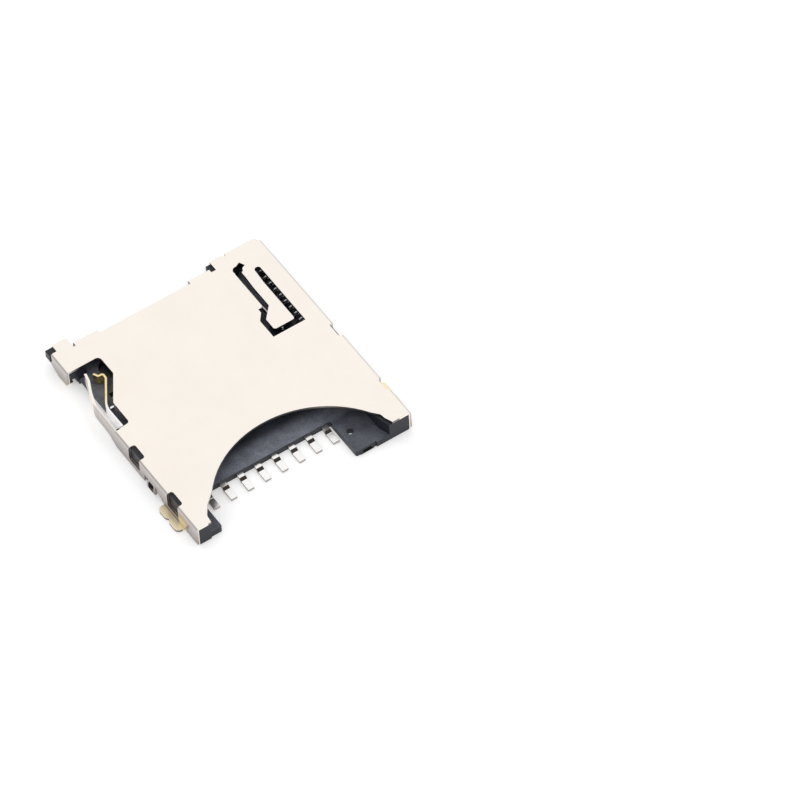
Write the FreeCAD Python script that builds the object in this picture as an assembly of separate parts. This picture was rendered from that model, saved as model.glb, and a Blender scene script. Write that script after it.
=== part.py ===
import FreeCAD, Part
import math
import os

from FreeCAD import Vector

# Push-push connector for a micro memory card, in millimetres.
# X runs across the card, +Y the way the card goes in, +Z up from the board.

# Overall sizes
CARD_WIDTH = 11.0
CARD_PLAY = 0.10
LEFT_SIDE = 0.97
RIGHT_SIDE = 1.67
SHELL_WIDTH = LEFT_SIDE + CARD_WIDTH + 2 * CARD_PLAY + RIGHT_SIDE
DEPTH = 15.20
HEIGHT = 1.40
TAB_REACH = 0.48
TONGUE = 0.08
SHEET = 0.15
FOLD = 0.09
FIT = 0.02
SHELL_X = SHELL_WIDTH / 2
WALL_X = SHELL_X - SHEET / 2
BODY_X = SHELL_X - SHEET - FIT
TAB_X = SHELL_X + TAB_REACH
FRONT = -DEPTH / 2
REAR = DEPTH / 2
TONGUE_REAR = REAR + TONGUE
ROOF = HEIGHT - SHEET
ABOVE = HEIGHT + 1.0
MIDDLE_SHIFT = -TONGUE / 2

# Card passage and floor
SLOT_LEFT = -SHELL_X + LEFT_SIDE
SLOT_RIGHT = SHELL_X - RIGHT_SIDE
CARD_X = (SLOT_LEFT + SLOT_RIGHT) / 2
FLOOR = 0.42
FLOOR_FRONT = FRONT + 2.68
FLOOR_REAR = REAR - 0.65
LEG_NOSE = FRONT + 0.08
LEG_STEP = SLOT_RIGHT - 0.60
TOE_RECESS = 0.25
LEAD_IN = 0.80
REAR_WALL = 0.50
REAR_CUTS = ((-5.80, -4.30), (1.85, 3.40))
CORNER = 0.12

# Contact row
CONTACTS = 8
PITCH = 1.10
ROW_X = CARD_X - 0.52
ROW_HALF = (CONTACTS - 1) / 2 * PITCH
STRIP = 0.15
STRIP_LOW = 0.10
STRIP_TOP = STRIP_LOW + STRIP
STRIP_MID = STRIP_LOW + STRIP / 2
TAIL_WIDTH = 0.38
TAIL_LENGTH = 1.20
TAIL_FOOT = 0.70
BEAM_WIDTH = 0.60
BEAM_SHIFT = -0.21
LEAD_SHIFT = -0.08
NECK_WIDTH = 0.38
TIP_WIDTH = 0.30
APEX_Y = 2.25
APEX_Z = 1.03
TIP_Y = 2.85
TIP_DROP = 0.26

# Contact window
WINDOW_LEFT = ROW_X - ROW_HALF - 0.71
WINDOW_RIGHT = ROW_X + ROW_HALF + 0.32
LEG_LEFT = WINDOW_LEFT + 0.15
LEG_RIGHT = WINDOW_RIGHT + 0.05
WINDOW_FRONT = -1.38
WINDOW_REAR = 3.70

# Round openings of the underside
PUNCH_RADIUS = 0.55
PUNCH_CORE = 0.24
ODD_CORE = 0.36
CORE_TOP = 0.32
PUNCH_ROWS = (-2.35, -3.58)
PUNCH_END_X = 3.10
PUNCH_ODD_Y = -4.25
BIG_HOLE = 0.74
BIG_HOLES = (-4.28, 0.30)
BIG_HOLE_Y = FLOOR_REAR - 1.77
PIN_MARK = 0.26
PIN_MARKS = (-5.18, -1.00, 3.12)
MARK_ROWS = (FLOOR_REAR - 0.83, FLOOR_REAR - 2.60)
LEG_HOLE = 0.20
SMALL_SIDES = 16
PUNCH_SIDES = 24
LEG_HOLES = ((-5.70, -5.25), (3.87, -6.15))

# Eject spring
RIGHT_RAIL = 0.30
TRACK_RIGHT = BODY_X - RIGHT_RAIL
SPRING_OUTER = 0.84
SPRING_WIRE = 0.12
SPRING_PLAY = 0.10
SPRING_X = TRACK_RIGHT - SPRING_PLAY - SPRING_OUTER / 2
SPRING_Z = ROOF - 0.05 - SPRING_OUTER / 2
SPRING_TURNS = 18
SPRING_END_TURNS = 1.25
SPRING_STEPS = 9
SPRING_SIDES = 5
PEG_RADIUS = 0.25
PEG_LENGTH = 0.60

# Eject slider
SLIDE_GAP = 0.05
SLIDER_WIDTH = 1.42
SLIDER_RIGHT = SPRING_X - SPRING_OUTER / 2 - 0.09
SLIDER_LEFT = SLIDER_RIGHT - SLIDER_WIDTH
TRACK_LEFT = SLIDER_LEFT - SLIDE_GAP
TRACK_FRONT = FRONT + 3.30
TRACK_REAR = REAR - REAR_WALL
TRACK_FLOOR = SPRING_Z - SPRING_OUTER / 2 - 0.06
SLIDER_FRONT = TRACK_FRONT + 0.40
SLIDER_REAR = SLIDER_FRONT + 6.20
SLIDER_LOW = TRACK_FLOOR + FIT
WIRE = 0.22
LEAF_DROP = 0.13
SLIDER_TOP = ROOF - LEAF_DROP - WIRE - FIT - 0.03
ARM_TOP = ROOF - SLIDE_GAP
ARM_REAR = SLIDER_FRONT + 2.60
GUIDE_LEFT = SLIDER_LEFT + 0.42
GUIDE_RIGHT = SLIDER_RIGHT + 0.13
GUIDE_NARROW = GUIDE_LEFT + 0.43
GUIDE_FRONT = SLIDER_FRONT - 0.10
GUIDE_SLANT = GUIDE_FRONT + 0.80
GUIDE_REAR = GUIDE_FRONT + 6.45
BOSS_REAR = GUIDE_FRONT + 1.95
BOSS_LOW = 0.05
STROKE = 3.40
LOCK_TRAVEL = 3.00

# Cam pin and heart track
PIN_X = SLIDER_LEFT + 0.22
PIN_Y = TRACK_REAR - 0.07
PIN_TIP_X = PIN_X + 0.41
PIN_TIP_Y = SLIDER_REAR - 0.68
PIN_SWING = 0.33
PIN_Z = SLIDER_TOP + FIT + WIRE / 2
PIN_LEG_LOW = 0.08
PIN_BEND = 0.20
PIN_SIDES = 8
GROOVE = 0.32
GROOVE_FLOOR = SLIDER_TOP - 0.30
PIN_TIP_LOW = GROOVE_FLOOR + SLIDE_GAP
HEART_LEFT = PIN_X + 0.08
HEART_NOTCH_X = PIN_TIP_X + 0.09
PIN_BLOCK_LEFT = PIN_X - 0.62
PIN_BLOCK_RIGHT = PIN_X + 0.68
REAR_STEP = TRACK_LEFT - 0.55

# Detect switch
SWITCH_STRIP = 0.12
SWITCH_X = -BODY_X + 0.51
SWITCH_LOW = 0.47
SWITCH_TOP = ROOF - 0.15
SWITCH_TIP_X = SWITCH_X + 1.06
SWITCH_TIP_Y = 4.60
SWITCH_ROOT_Y = 0.10
SWITCH_BASE_LEFT = -BODY_X + 0.13
SWITCH_BASE_RIGHT = SWITCH_BASE_LEFT + 1.05
SWITCH_BASE_FRONT = -0.70
SWITCH_BASE_REAR = 0.80
SWITCH_TAIL_Y = -3.35
SWITCH_TAIL_LEFT = SWITCH_BASE_LEFT + 0.12
SWITCH_TAIL_RIGHT = SWITCH_BASE_LEFT + 0.42
STOP_LEFT = SWITCH_X + 0.13
STOP_RIGHT = SWITCH_X + 0.37
STOP_Y = 2.375
POCKET_LEFT = -BODY_X + 0.55
POCKET_FRONT = 0.80
POCKET_REAR = REAR - 2.10
POCKET_DRAFT = 0.14

# Block behind the switch
BLOCK_RIGHT = POCKET_LEFT + 0.50
BLOCK_LEFT = POCKET_LEFT - 0.14
BLOCK_LOW = 0.31
STEP_LEFT = -BODY_X
STEP_LOW = 0.70
NUB_LEFT = -SHELL_X - 0.05
NUB_LOW = 0.75
NUB_FRONT = REAR - 0.40

# Shell openings
ARC_RADIUS = 6.10
ARC_X = -0.03
ARC_Y = FRONT - 2.05
LEAF_LEFT = PIN_X + 0.53
LEAF_RIGHT = SLIDER_RIGHT
LEAF_FREE = 1.60
LEAF_SLOT = 0.37
LEAF_SLOT_FRONT = 1.10
LEAF_SLOT_REAR = REAR - 1.40
LEAF_BEND = REAR - 2.10
PADDLE_LEFT = PIN_X - 0.14
PADDLE_REAR = 2.45
NECK_FRONT = 3.20
LOOPS = ((-5.45, -3.90), (2.03, 3.40))
LOOP_Y = FLOOR_REAR + 0.13 + SHEET / 2
LOOP_FOOT = REAR
FOOT_WIDTH = 1.20
LEAF_ROOT = 0.60

# Side walls, tabs and feet of the shell
WALL_LOW = 0.10
FOOT_FRONT = REAR - 2.08
FOOT_LOW = 0.16
FOOT_REAR = REAR - 1.30
FOOT_REACH = -SHELL_X + 0.42
HOOK_FRONT = -3.42
HOOK_REAR = -2.70
HOOK_REACH = -SHELL_X + 0.26
HOOK_BULGE = 0.09
HOOK_FRAME = 0.10
HOOK_TOP = 0.68
NOTCH_REAR = -2.28
NOTCH_TOP = 0.65
EDGE_WINDOW = 1.08
WINDOW_ROUND = 0.16
WINDOW_LOW = 0.38
HIGH_WINDOW_LOW = 0.45
FRONT_WINDOW = FRONT + 2.44
LEFT_WINDOW = -1.30
RIGHT_WINDOW = -0.42
LUG_FRONT = 2.00
LUG_REAR = 3.30
LEFT_TAB_FRONT = FRONT + 1.33
LEFT_TAB_REAR = FRONT + 3.32
RIGHT_TAB_FRONT = FRONT + 1.40
RIGHT_TAB_REAR = FRONT + 3.50
REAR_TAB_FRONT = REAR - 2.10
REAR_TAB_REAR = REAR - 0.40
TAB_NOTCH = 0.16
TAB_ROUND = 0.30


def corner_points(before, corner, after, radius):
    """Ends and middle of the arc that rounds one corner."""
    back = (before - corner).normalize()
    ahead = (after - corner).normalize()
    half = back.getAngle(ahead) / 2
    reach = radius / math.tan(half)
    inward = (back + ahead).normalize()
    centre = corner + inward * (radius / math.sin(half))
    return corner + back * reach, centre - inward * radius, corner + ahead * reach


def rounded_path(corners, closed):
    """Lines and arcs through corners given as a point and a radius."""
    count = len(corners)
    edges = []
    stops = []
    for index in range(count):
        point, radius = corners[index]
        if radius > 0 and (closed or 0 < index < count - 1):
            before = corners[index - 1][0]
            after = corners[(index + 1) % count][0]
            stops.append(corner_points(before, point, after, radius))
        else:
            stops.append((point, None, point))
    for index in range(count):
        start, middle, end = stops[index]
        if middle is not None:
            edges.append(Part.Arc(start, middle, end).toShape())
        if index < count - 1 or closed:
            target = stops[(index + 1) % count][0]
            if (target - end).Length > 1e-6:
                edges.append(Part.makeLine(end, target))
    return Part.Wire(edges)


def profile(corners, to_space):
    """Flat face from (u, v) or (u, v, radius) corners laid into space."""
    placed = []
    for corner in corners:
        radius = corner[2] if len(corner) > 2 else 0.0
        placed.append((to_space(corner[0], corner[1]), radius))
    return Part.Face(rounded_path(placed, True))


def upright(corners, z0, z1):
    """Plan outline raised from z0 to z1."""
    face = profile(corners, lambda u, v: Vector(u, v, z0))
    return face.extrude(Vector(0, 0, z1 - z0))


def across(corners, x0, x1):
    """Side outline of (y, z) corners drawn across from x0 to x1."""
    face = profile(corners, lambda u, v: Vector(x0, u, v))
    return face.extrude(Vector(x1 - x0, 0, 0))


def along(corners, y0, y1):
    """Front outline of (x, z) corners drawn along from y0 to y1."""
    face = profile(corners, lambda u, v: Vector(u, y0, v))
    return face.extrude(Vector(0, y1 - y0, 0))


def strip(path, thickness):
    """Outline of a strip of even thickness bent along its centre line."""
    left = []
    right = []
    half = thickness / 2
    last = len(path) - 1
    for index, corner in enumerate(path):
        here = Vector(corner[0], corner[1], 0)
        back = here - Vector(path[max(index - 1, 0)][0], path[max(index - 1, 0)][1], 0)
        ahead = Vector(path[min(index + 1, last)][0], path[min(index + 1, last)][1], 0) - here
        if index == 0:
            back = Vector(ahead)
        if index == last:
            ahead = Vector(back)
        back.normalize()
        ahead.normalize()
        turn = back.cross(ahead).z
        normal = Vector(-back.y - ahead.y, back.x + ahead.x, 0)
        mitre = normal * (half / (1 + back.dot(ahead)))
        radius = corner[2] if len(corner) > 2 else 0.0
        swell = half if turn < 0 else -half
        inner_left = max(radius + swell, 0) if radius else 0.0
        inner_right = max(radius - swell, 0) if radius else 0.0
        left.append((here.x + mitre.x, here.y + mitre.y, inner_left))
        right.append((here.x - mitre.x, here.y - mitre.y, inner_right))
    return left + right[::-1]


def block(x0, x1, y0, y1, z0, z1):
    return Part.makeBox(x1 - x0, y1 - y0, z1 - z0, Vector(x0, y0, z0))


def drum(x, y, radius, z0, z1):
    return Part.makeCylinder(radius, z1 - z0, Vector(x, y, z0))


def small_hole(x, y, radius, z0, z1, sides=SMALL_SIDES):
    """Many-sided cutter standing for a small round hole."""
    corners = []
    for side in range(sides):
        angle = 2 * math.pi * side / sides
        corners.append((x + radius * math.cos(angle), y + radius * math.sin(angle)))
    return upright(corners, z0, z1)


def joined(shapes):
    """One clean solid out of shapes that touch or overlap."""
    whole = shapes[0].multiFuse(shapes[1:])
    return whole.removeSplitter()


def tail_x(index):
    return ROW_X + (index - (CONTACTS - 1) / 2) * PITCH


def contact(index):
    """One contact: solder tail, lead in the floor, rising beam, bent tip."""
    x = tail_x(index)
    lead_x = x + LEAD_SHIFT
    beam_x = x + BEAM_SHIFT
    toe = FLOOR_FRONT - TAIL_LENGTH
    heel = toe + TAIL_FOOT
    beam_z = APEX_Z - STRIP / 2
    side = strip([
        (toe, STRIP / 2),
        (heel, STRIP / 2, 0.12),
        (heel + 0.17, STRIP_MID, 0.12),
        (WINDOW_FRONT + 0.15, STRIP_MID, 1.2),
        (APEX_Y, beam_z + 0.02, 0.35),
        (TIP_Y, beam_z - TIP_DROP),
    ], STRIP)
    edge_front = FLOOR_FRONT + 0.15
    plan = [
        (x - TAIL_WIDTH / 2, toe),
        (x + TAIL_WIDTH / 2, toe),
        (x + TAIL_WIDTH / 2, edge_front),
        (lead_x + BEAM_WIDTH / 2, edge_front + 0.15),
        (lead_x + BEAM_WIDTH / 2, WINDOW_FRONT - 0.5),
        (beam_x + BEAM_WIDTH / 2, WINDOW_FRONT),
        (beam_x + NECK_WIDTH / 2, APEX_Y - 0.2),
        (beam_x + TIP_WIDTH / 2, TIP_Y),
        (beam_x - TIP_WIDTH / 2, TIP_Y),
        (beam_x - NECK_WIDTH / 2, APEX_Y - 0.2),
        (beam_x - BEAM_WIDTH / 2, WINDOW_FRONT),
        (lead_x - BEAM_WIDTH / 2, WINDOW_FRONT - 0.5),
        (lead_x - BEAM_WIDTH / 2, edge_front + 0.15),
        (x - TAIL_WIDTH / 2, edge_front),
    ]
    ribbon = across(side, x - PITCH / 2, x + PITCH / 2)
    return ribbon.common(upright(plan, -SHEET, ABOVE))


def floor_stiffener():
    """Stamped insert round the contact window, with its cut tie bars."""
    arm_left = LEG_RIGHT
    arm_right = WINDOW_RIGHT + 0.60
    plate_front = WINDOW_REAR + 0.25
    plate_rear = FLOOR_REAR - 0.45
    pieces = [block(WINDOW_LEFT - 0.17, arm_right, plate_front, plate_rear, STRIP_LOW, STRIP_TOP)]
    pieces.append(block(arm_left, arm_right, -2.90, plate_rear, STRIP_LOW, STRIP_TOP))
    for lug_y in (-0.25, 2.00):
        pieces.append(block(WINDOW_RIGHT - 0.10, arm_right, lug_y - 0.2, lug_y + 0.2, STRIP_LOW, STRIP_TOP))
    for stub_x in (-3.50, 0.95):
        pieces.append(block(stub_x - 0.2, stub_x + 0.2, plate_rear, FLOOR_REAR + 0.10, STRIP_LOW, STRIP_TOP))
    sheet = joined(pieces)
    for x in BIG_HOLES:
        sheet = sheet.cut(drum(x, BIG_HOLE_Y, BIG_HOLE + 0.12, 0, FLOOR))
    return sheet


def switch_contact():
    """Card detect spring on edge, its base, solder tail and upright stop."""
    t = SWITCH_STRIP
    base_z = STRIP_LOW + t / 2
    riser = along(strip([
        (SWITCH_BASE_RIGHT, base_z),
        (SWITCH_X, base_z, 0.11),
        (SWITCH_X, SWITCH_TOP),
    ], t), SWITCH_ROOT_Y, SWITCH_BASE_REAR)
    wing = block(SWITCH_BASE_LEFT, SWITCH_BASE_RIGHT, SWITCH_BASE_FRONT, SWITCH_ROOT_Y, STRIP_LOW, STRIP_LOW + t)
    tail = across(strip([
        (SWITCH_BASE_FRONT + 0.1, base_z),
        (-2.62, base_z, 0.12),
        (-2.78, t / 2, 0.12),
        (SWITCH_TAIL_Y, t / 2),
    ], t), SWITCH_TAIL_LEFT, SWITCH_TAIL_RIGHT)
    stop = across(strip([
        (SWITCH_BASE_REAR - 0.4, base_z),
        (STOP_Y, base_z, 0.11),
        (STOP_Y, SWITCH_TOP - 0.05),
    ], t), STOP_LEFT, STOP_RIGHT)
    blade = upright(strip([
        (SWITCH_X, SWITCH_ROOT_Y),
        (SWITCH_X - 0.02, 2.55, 1.2),
        (SWITCH_TIP_X - 0.02, SWITCH_TIP_Y - 0.34, 0.15),
        (SWITCH_TIP_X, SWITCH_TIP_Y, 0.12),
        (SWITCH_TIP_X - 0.30, SWITCH_TIP_Y, 0.12),
        (SWITCH_TIP_X - 0.44, SWITCH_TIP_Y + 0.30),
    ], t), SWITCH_LOW, SWITCH_TOP)
    return joined([riser, wing, tail, stop, blade])


def housing_plan():
    """Outline of the moulding on the board."""
    rear_block = REAR - SLIDE_GAP
    return [
        (-BODY_X, FRONT),
        (SLOT_LEFT - 0.08, FRONT),
        (SLOT_LEFT - 0.08, LEG_NOSE),
        (LEG_LEFT, LEG_NOSE, CORNER),
        (LEG_LEFT, FLOOR_FRONT, CORNER),
        (LEG_RIGHT, FLOOR_FRONT, CORNER),
        (LEG_RIGHT, LEG_NOSE, CORNER),
        (LEG_STEP, LEG_NOSE),
        (LEG_STEP, FRONT),
        (BODY_X, FRONT),
        (BODY_X, rear_block - 0.20),
        (BODY_X - 0.15, rear_block),
        (REAR_STEP, rear_block),
        (REAR_STEP, FLOOR_REAR),
        (BLOCK_RIGHT, FLOOR_REAR),
        (BLOCK_RIGHT, TONGUE_REAR),
        (POCKET_LEFT, TONGUE_REAR),
        (POCKET_LEFT, POCKET_FRONT),
        (-BODY_X, POCKET_FRONT),
    ]


def housing_walls():
    """Rails, blocks and rear wall standing on the floor."""
    left_rail = upright([
        (-BODY_X, FRONT),
        (SLOT_LEFT - 0.08, FRONT),
        (SLOT_LEFT, FRONT + LEAD_IN),
        (SLOT_LEFT, POCKET_FRONT),
        (-BODY_X, POCKET_FRONT),
    ], FLOOR, ROOF)
    right_block = upright([
        (SLOT_RIGHT + 0.25, FRONT),
        (BODY_X, FRONT),
        (BODY_X, TRACK_FRONT),
        (SLOT_RIGHT, TRACK_FRONT),
        (SLOT_RIGHT, FRONT + LEAD_IN, 0.60),
    ], FLOOR, ROOF)
    return [
        left_rail,
        right_block,
        block(TRACK_RIGHT, BODY_X, TRACK_FRONT, TRACK_REAR, 0, ROOF),
        block(BLOCK_RIGHT, REAR_STEP + 0.35, FLOOR_REAR - REAR_WALL, FLOOR_REAR, FLOOR, ROOF),
        block(REAR_STEP, REAR_STEP + 0.35, FLOOR_REAR - REAR_WALL, REAR, 0, ROOF),
        block(PIN_BLOCK_LEFT, PIN_BLOCK_RIGHT, TRACK_REAR - REAR_WALL, REAR, 0, SLIDER_TOP),
        block(PIN_BLOCK_RIGHT, BODY_X, TRACK_REAR, REAR, 0, ROOF),
    ]


def switch_block():
    """Block behind the detect switch, stepped over the shell's foot."""
    return [
        block(BLOCK_LEFT, BLOCK_RIGHT, POCKET_REAR, TONGUE_REAR, BLOCK_LOW, ROOF),
        block(STEP_LEFT, BLOCK_LEFT, POCKET_REAR, TONGUE_REAR, STEP_LOW, ROOF),
        block(NUB_LEFT, STEP_LEFT, NUB_FRONT, TONGUE_REAR, NUB_LOW, ROOF),
    ]


def punch_holes():
    """Holes that cut the tie bars between neighbouring leads."""
    cutters = []
    for gap in range(CONTACTS):
        x = tail_x(gap) + LEAD_SHIFT - PITCH / 2
        y = PUNCH_ROWS[gap % 2]
        cutters.append(small_hole(x, y, PUNCH_RADIUS, 0, STRIP_LOW, PUNCH_SIDES))
        cutters.append(small_hole(x, y, PUNCH_CORE, 0, CORE_TOP))
    cutters.append(small_hole(PUNCH_END_X, PUNCH_ROWS[0], PUNCH_RADIUS, 0, STRIP_LOW, PUNCH_SIDES))
    cutters.append(small_hole(PUNCH_END_X, PUNCH_ROWS[0], PUNCH_CORE, 0, CORE_TOP))
    odd_x = tail_x(CONTACTS - 2) + LEAD_SHIFT - PITCH / 2
    cutters.append(small_hole(odd_x, PUNCH_ODD_Y, ODD_CORE, 0, CORE_TOP))
    return cutters


def round_holes():
    """Core holes, pin marks of the mould, and the seat of the cam pin."""
    cutters = []
    for x in BIG_HOLES:
        cutters.append(drum(x, BIG_HOLE_Y, BIG_HOLE, 0, FLOOR))
    for x in PIN_MARKS:
        for y in MARK_ROWS:
            cutters.append(small_hole(x, y, PIN_MARK, 0, STRIP_LOW))
    for x, y in LEG_HOLES:
        cutters.append(drum(x, y, LEG_HOLE, 0, FLOOR))
    cutters.append(drum(PIN_X, PIN_Y, WIRE / 2 + FIT, 0, SLIDER_TOP))
    cutters.append(drum(PIN_X, PIN_Y, WIRE + 0.06, 0, 0.08))
    return cutters


def floor_openings():
    """Contact window, slot of the slider, spring window and pockets."""
    guide = upright([
        (GUIDE_LEFT, GUIDE_REAR, 0.15),
        (GUIDE_LEFT, GUIDE_SLANT + 0.45),
        (GUIDE_NARROW, GUIDE_SLANT),
        (GUIDE_NARROW, GUIDE_FRONT, 0.15),
        (GUIDE_RIGHT, GUIDE_FRONT, 0.15),
        (GUIDE_RIGHT, GUIDE_REAR, 0.15),
    ], 0, FLOOR)
    cutters = [
        block(WINDOW_LEFT, WINDOW_RIGHT, WINDOW_FRONT, WINDOW_REAR, 0, FLOOR),
        guide,
        block(SPRING_X - 0.63, TRACK_RIGHT, TRACK_REAR - 2.05, TRACK_REAR, 0, FLOOR),
        block(-SHELL_X, SWITCH_BASE_RIGHT - 0.30, SWITCH_BASE_FRONT - 0.15, POCKET_FRONT + 0.20, 0, STRIP_TOP),
        block(-SHELL_X, SWITCH_TAIL_RIGHT + 0.05, SWITCH_TAIL_Y - 0.45, SWITCH_TAIL_Y + 0.85, 0, STRIP_TOP),
        block(STOP_LEFT - 0.09, STOP_RIGHT + 0.02, STOP_Y - 0.075, STOP_Y + 0.425, 0, FLOOR),
        block(LEG_STEP - 0.85, LEG_STEP - 0.30, LEG_NOSE, LEG_NOSE + 0.20, 0, TOE_RECESS),
        block(-3.95, -2.95, FLOOR_REAR - 0.15, FLOOR_REAR, 0, STRIP_TOP + 0.08),
        block(0.45, 1.45, FLOOR_REAR - 0.15, FLOOR_REAR, 0, STRIP_TOP + 0.08),
    ]
    for x0, x1 in REAR_CUTS:
        cutters.append(block(x0, x1, FLOOR_REAR - 0.30, FLOOR_REAR, 0, STRIP_LOW))
    return cutters


def housing(inserts):
    """Insulator moulded round the contacts, the stiffener and the switch."""
    base = upright(housing_plan(), 0, FLOOR)
    base = base.cut(block(TRACK_LEFT, TRACK_RIGHT, TRACK_FRONT, TRACK_REAR, TRACK_FLOOR, ABOVE))
    side_lug = block(BODY_X, SHELL_X - 0.02, LUG_FRONT, LUG_REAR, 0, TRACK_FLOOR)
    peg = Part.makeCylinder(PEG_RADIUS, PEG_LENGTH, Vector(SPRING_X, TRACK_REAR, SPRING_Z), Vector(0, -1, 0))
    envelope = upright(housing_plan(), 0, ROOF)
    walls = joined(housing_walls()).common(envelope)
    draft = along([
        (POCKET_LEFT - 0.1, -0.1),
        (POCKET_LEFT + POCKET_DRAFT, -0.1),
        (POCKET_LEFT, FLOOR - 0.06),
        (POCKET_LEFT - 0.1, FLOOR - 0.06),
    ], POCKET_FRONT + 0.20, POCKET_REAR)
    body = joined([base, walls, side_lug, peg] + switch_block()).cut(draft)
    return body.cut(floor_openings() + punch_holes() + round_holes() + inserts).removeSplitter()


def groove(path):
    """Track of even width with round ends, sunk in the top of the slider."""
    cutters = [upright(strip(path, GROOVE), GROOVE_FLOOR, ABOVE)]
    for end in (path[0], path[-1]):
        cutters.append(drum(end[0], end[1], GROOVE / 2, GROOVE_FLOOR, ABOVE))
    return cutters


def heart_track():
    """Way in, lock notch and way back of the cam, in the slider at rest."""
    far_x = PIN_TIP_X + PIN_SWING
    far_y = PIN_TIP_Y - STROKE
    lock = (HEART_NOTCH_X, PIN_TIP_Y - LOCK_TRAVEL)
    turn = (HEART_LEFT + 0.12, far_y - 0.1)
    way_in = groove([(PIN_TIP_X, PIN_TIP_Y), (far_x, far_y)])
    to_lock = groove([(far_x, far_y), lock])
    release = groove([lock, turn])
    way_back = groove([turn, (HEART_LEFT, far_y + 1.2, 0.6), (HEART_LEFT + 0.1, 0.7, 0.6), (PIN_TIP_X, PIN_TIP_Y)])
    return way_in + to_lock + release + way_back


def slider():
    """Eject slider: nose, heart track, floor boss and spring arm."""
    body = upright([
        (SLIDER_LEFT, SLIDER_FRONT, 0.2),
        (SLIDER_RIGHT, SLIDER_FRONT),
        (SLIDER_RIGHT, SLIDER_REAR, 0.2),
        (SLIDER_LEFT, SLIDER_REAR, 0.3),
    ], SLIDER_LOW, SLIDER_TOP)
    arm_right = TRACK_RIGHT - SLIDE_GAP
    web = block(SLIDER_RIGHT - 0.1, arm_right, SLIDER_FRONT, ARM_REAR, SLIDER_LOW, SLIDER_TOP)
    arm = block(SLIDER_RIGHT + SLIDE_GAP, arm_right, SLIDER_FRONT, ARM_REAR, SLIDER_LOW, ARM_TOP)
    boss = upright([
        (GUIDE_LEFT + SLIDE_GAP, BOSS_REAR, 0.1),
        (GUIDE_LEFT + SLIDE_GAP, GUIDE_SLANT + 0.50),
        (GUIDE_NARROW + SLIDE_GAP, GUIDE_SLANT + 0.05),
        (GUIDE_NARROW + SLIDE_GAP, GUIDE_FRONT + SLIDE_GAP, 0.1),
        (GUIDE_RIGHT - SLIDE_GAP, GUIDE_FRONT + SLIDE_GAP, 0.1),
        (GUIDE_RIGHT - SLIDE_GAP, BOSS_REAR, 0.1),
    ], BOSS_LOW, SLIDER_LOW)
    peg = Part.makeCylinder(PEG_RADIUS, PEG_LENGTH, Vector(SPRING_X, ARM_REAR, SPRING_Z), Vector(0, 1, 0))
    return joined([body, web, arm, boss, peg]).cut(heart_track()).removeSplitter()


def wire_section(radius, sides, centre, first, second):
    """Many-sided section of a wire about its centre line, standing for the round one."""
    corners = []
    for side in range(sides + 1):
        angle = 2 * math.pi * side / sides
        corners.append(centre + first * (radius * math.cos(angle)) + second * (radius * math.sin(angle)))
    return Part.makePolygon(corners)


def cam_pin():
    """Bent wire: leg in the housing, long run over the slider, hooked tip."""
    foot = Vector(PIN_X, PIN_Y, PIN_LEG_LOW)
    heel = Vector(PIN_X, PIN_Y, PIN_Z)
    knee = Vector(PIN_TIP_X, PIN_TIP_Y, PIN_Z)
    tip = Vector(PIN_TIP_X, PIN_TIP_Y, PIN_TIP_LOW)
    rise = (heel - foot).normalize()
    run = (knee - heel).normalize()
    drop = (tip - knee).normalize()
    points = [foot, *corner_points(foot, heel, knee, PIN_BEND), *corner_points(heel, knee, tip, PIN_BEND), tip]
    ways = [rise, rise, (rise + run).normalize(), run, run, (run + drop).normalize(), drop, drop]
    side = run.cross(rise)
    side.normalize()
    sections = []
    for point, way in zip(points, ways):
        sections.append(wire_section(WIRE / 2, PIN_SIDES, point, side, way.cross(side)))
    return Part.makeLoft(sections, True, True)


def spring_height(turn, length):
    """How far the coil has risen after some turns, the end turns closed."""
    close = SPRING_WIRE
    ends = SPRING_END_TURNS
    if turn < ends:
        return close * turn
    if turn > SPRING_TURNS - ends:
        return length - close * (SPRING_TURNS - turn)
    open_turns = SPRING_TURNS - 2 * ends
    return close * ends + (length - 2 * close * ends) * (turn - ends) / open_turns


def coil_spring():
    """Compression spring between the arm of the slider and the rear block."""
    radius = (SPRING_OUTER - SPRING_WIRE) / 2
    length = TRACK_REAR - ARM_REAR - SPRING_WIRE
    sections = []
    for step in range(SPRING_TURNS * SPRING_STEPS + 1):
        turn = step / SPRING_STEPS
        angle = 2 * math.pi * turn
        outward = Vector(math.cos(angle), 0, math.sin(angle))
        rise = ARM_REAR + SPRING_WIRE / 2 + spring_height(turn, length)
        centre = Vector(SPRING_X, rise, SPRING_Z) + outward * radius
        sections.append(wire_section(SPRING_WIRE / 2, SPRING_SIDES, centre, outward, Vector(0, 1, 0)))
    return Part.makeLoft(sections, True, True)


def shell_skin():
    """Top plate and both side walls, folded from one sheet."""
    middle_z = HEIGHT - SHEET / 2
    fold = strip([
        (-WALL_X, WALL_LOW),
        (-WALL_X, middle_z, FOLD),
        (WALL_X, middle_z, FOLD),
        (WALL_X, WALL_LOW),
    ], SHEET)
    return along(fold, FRONT, TONGUE_REAR)


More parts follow.
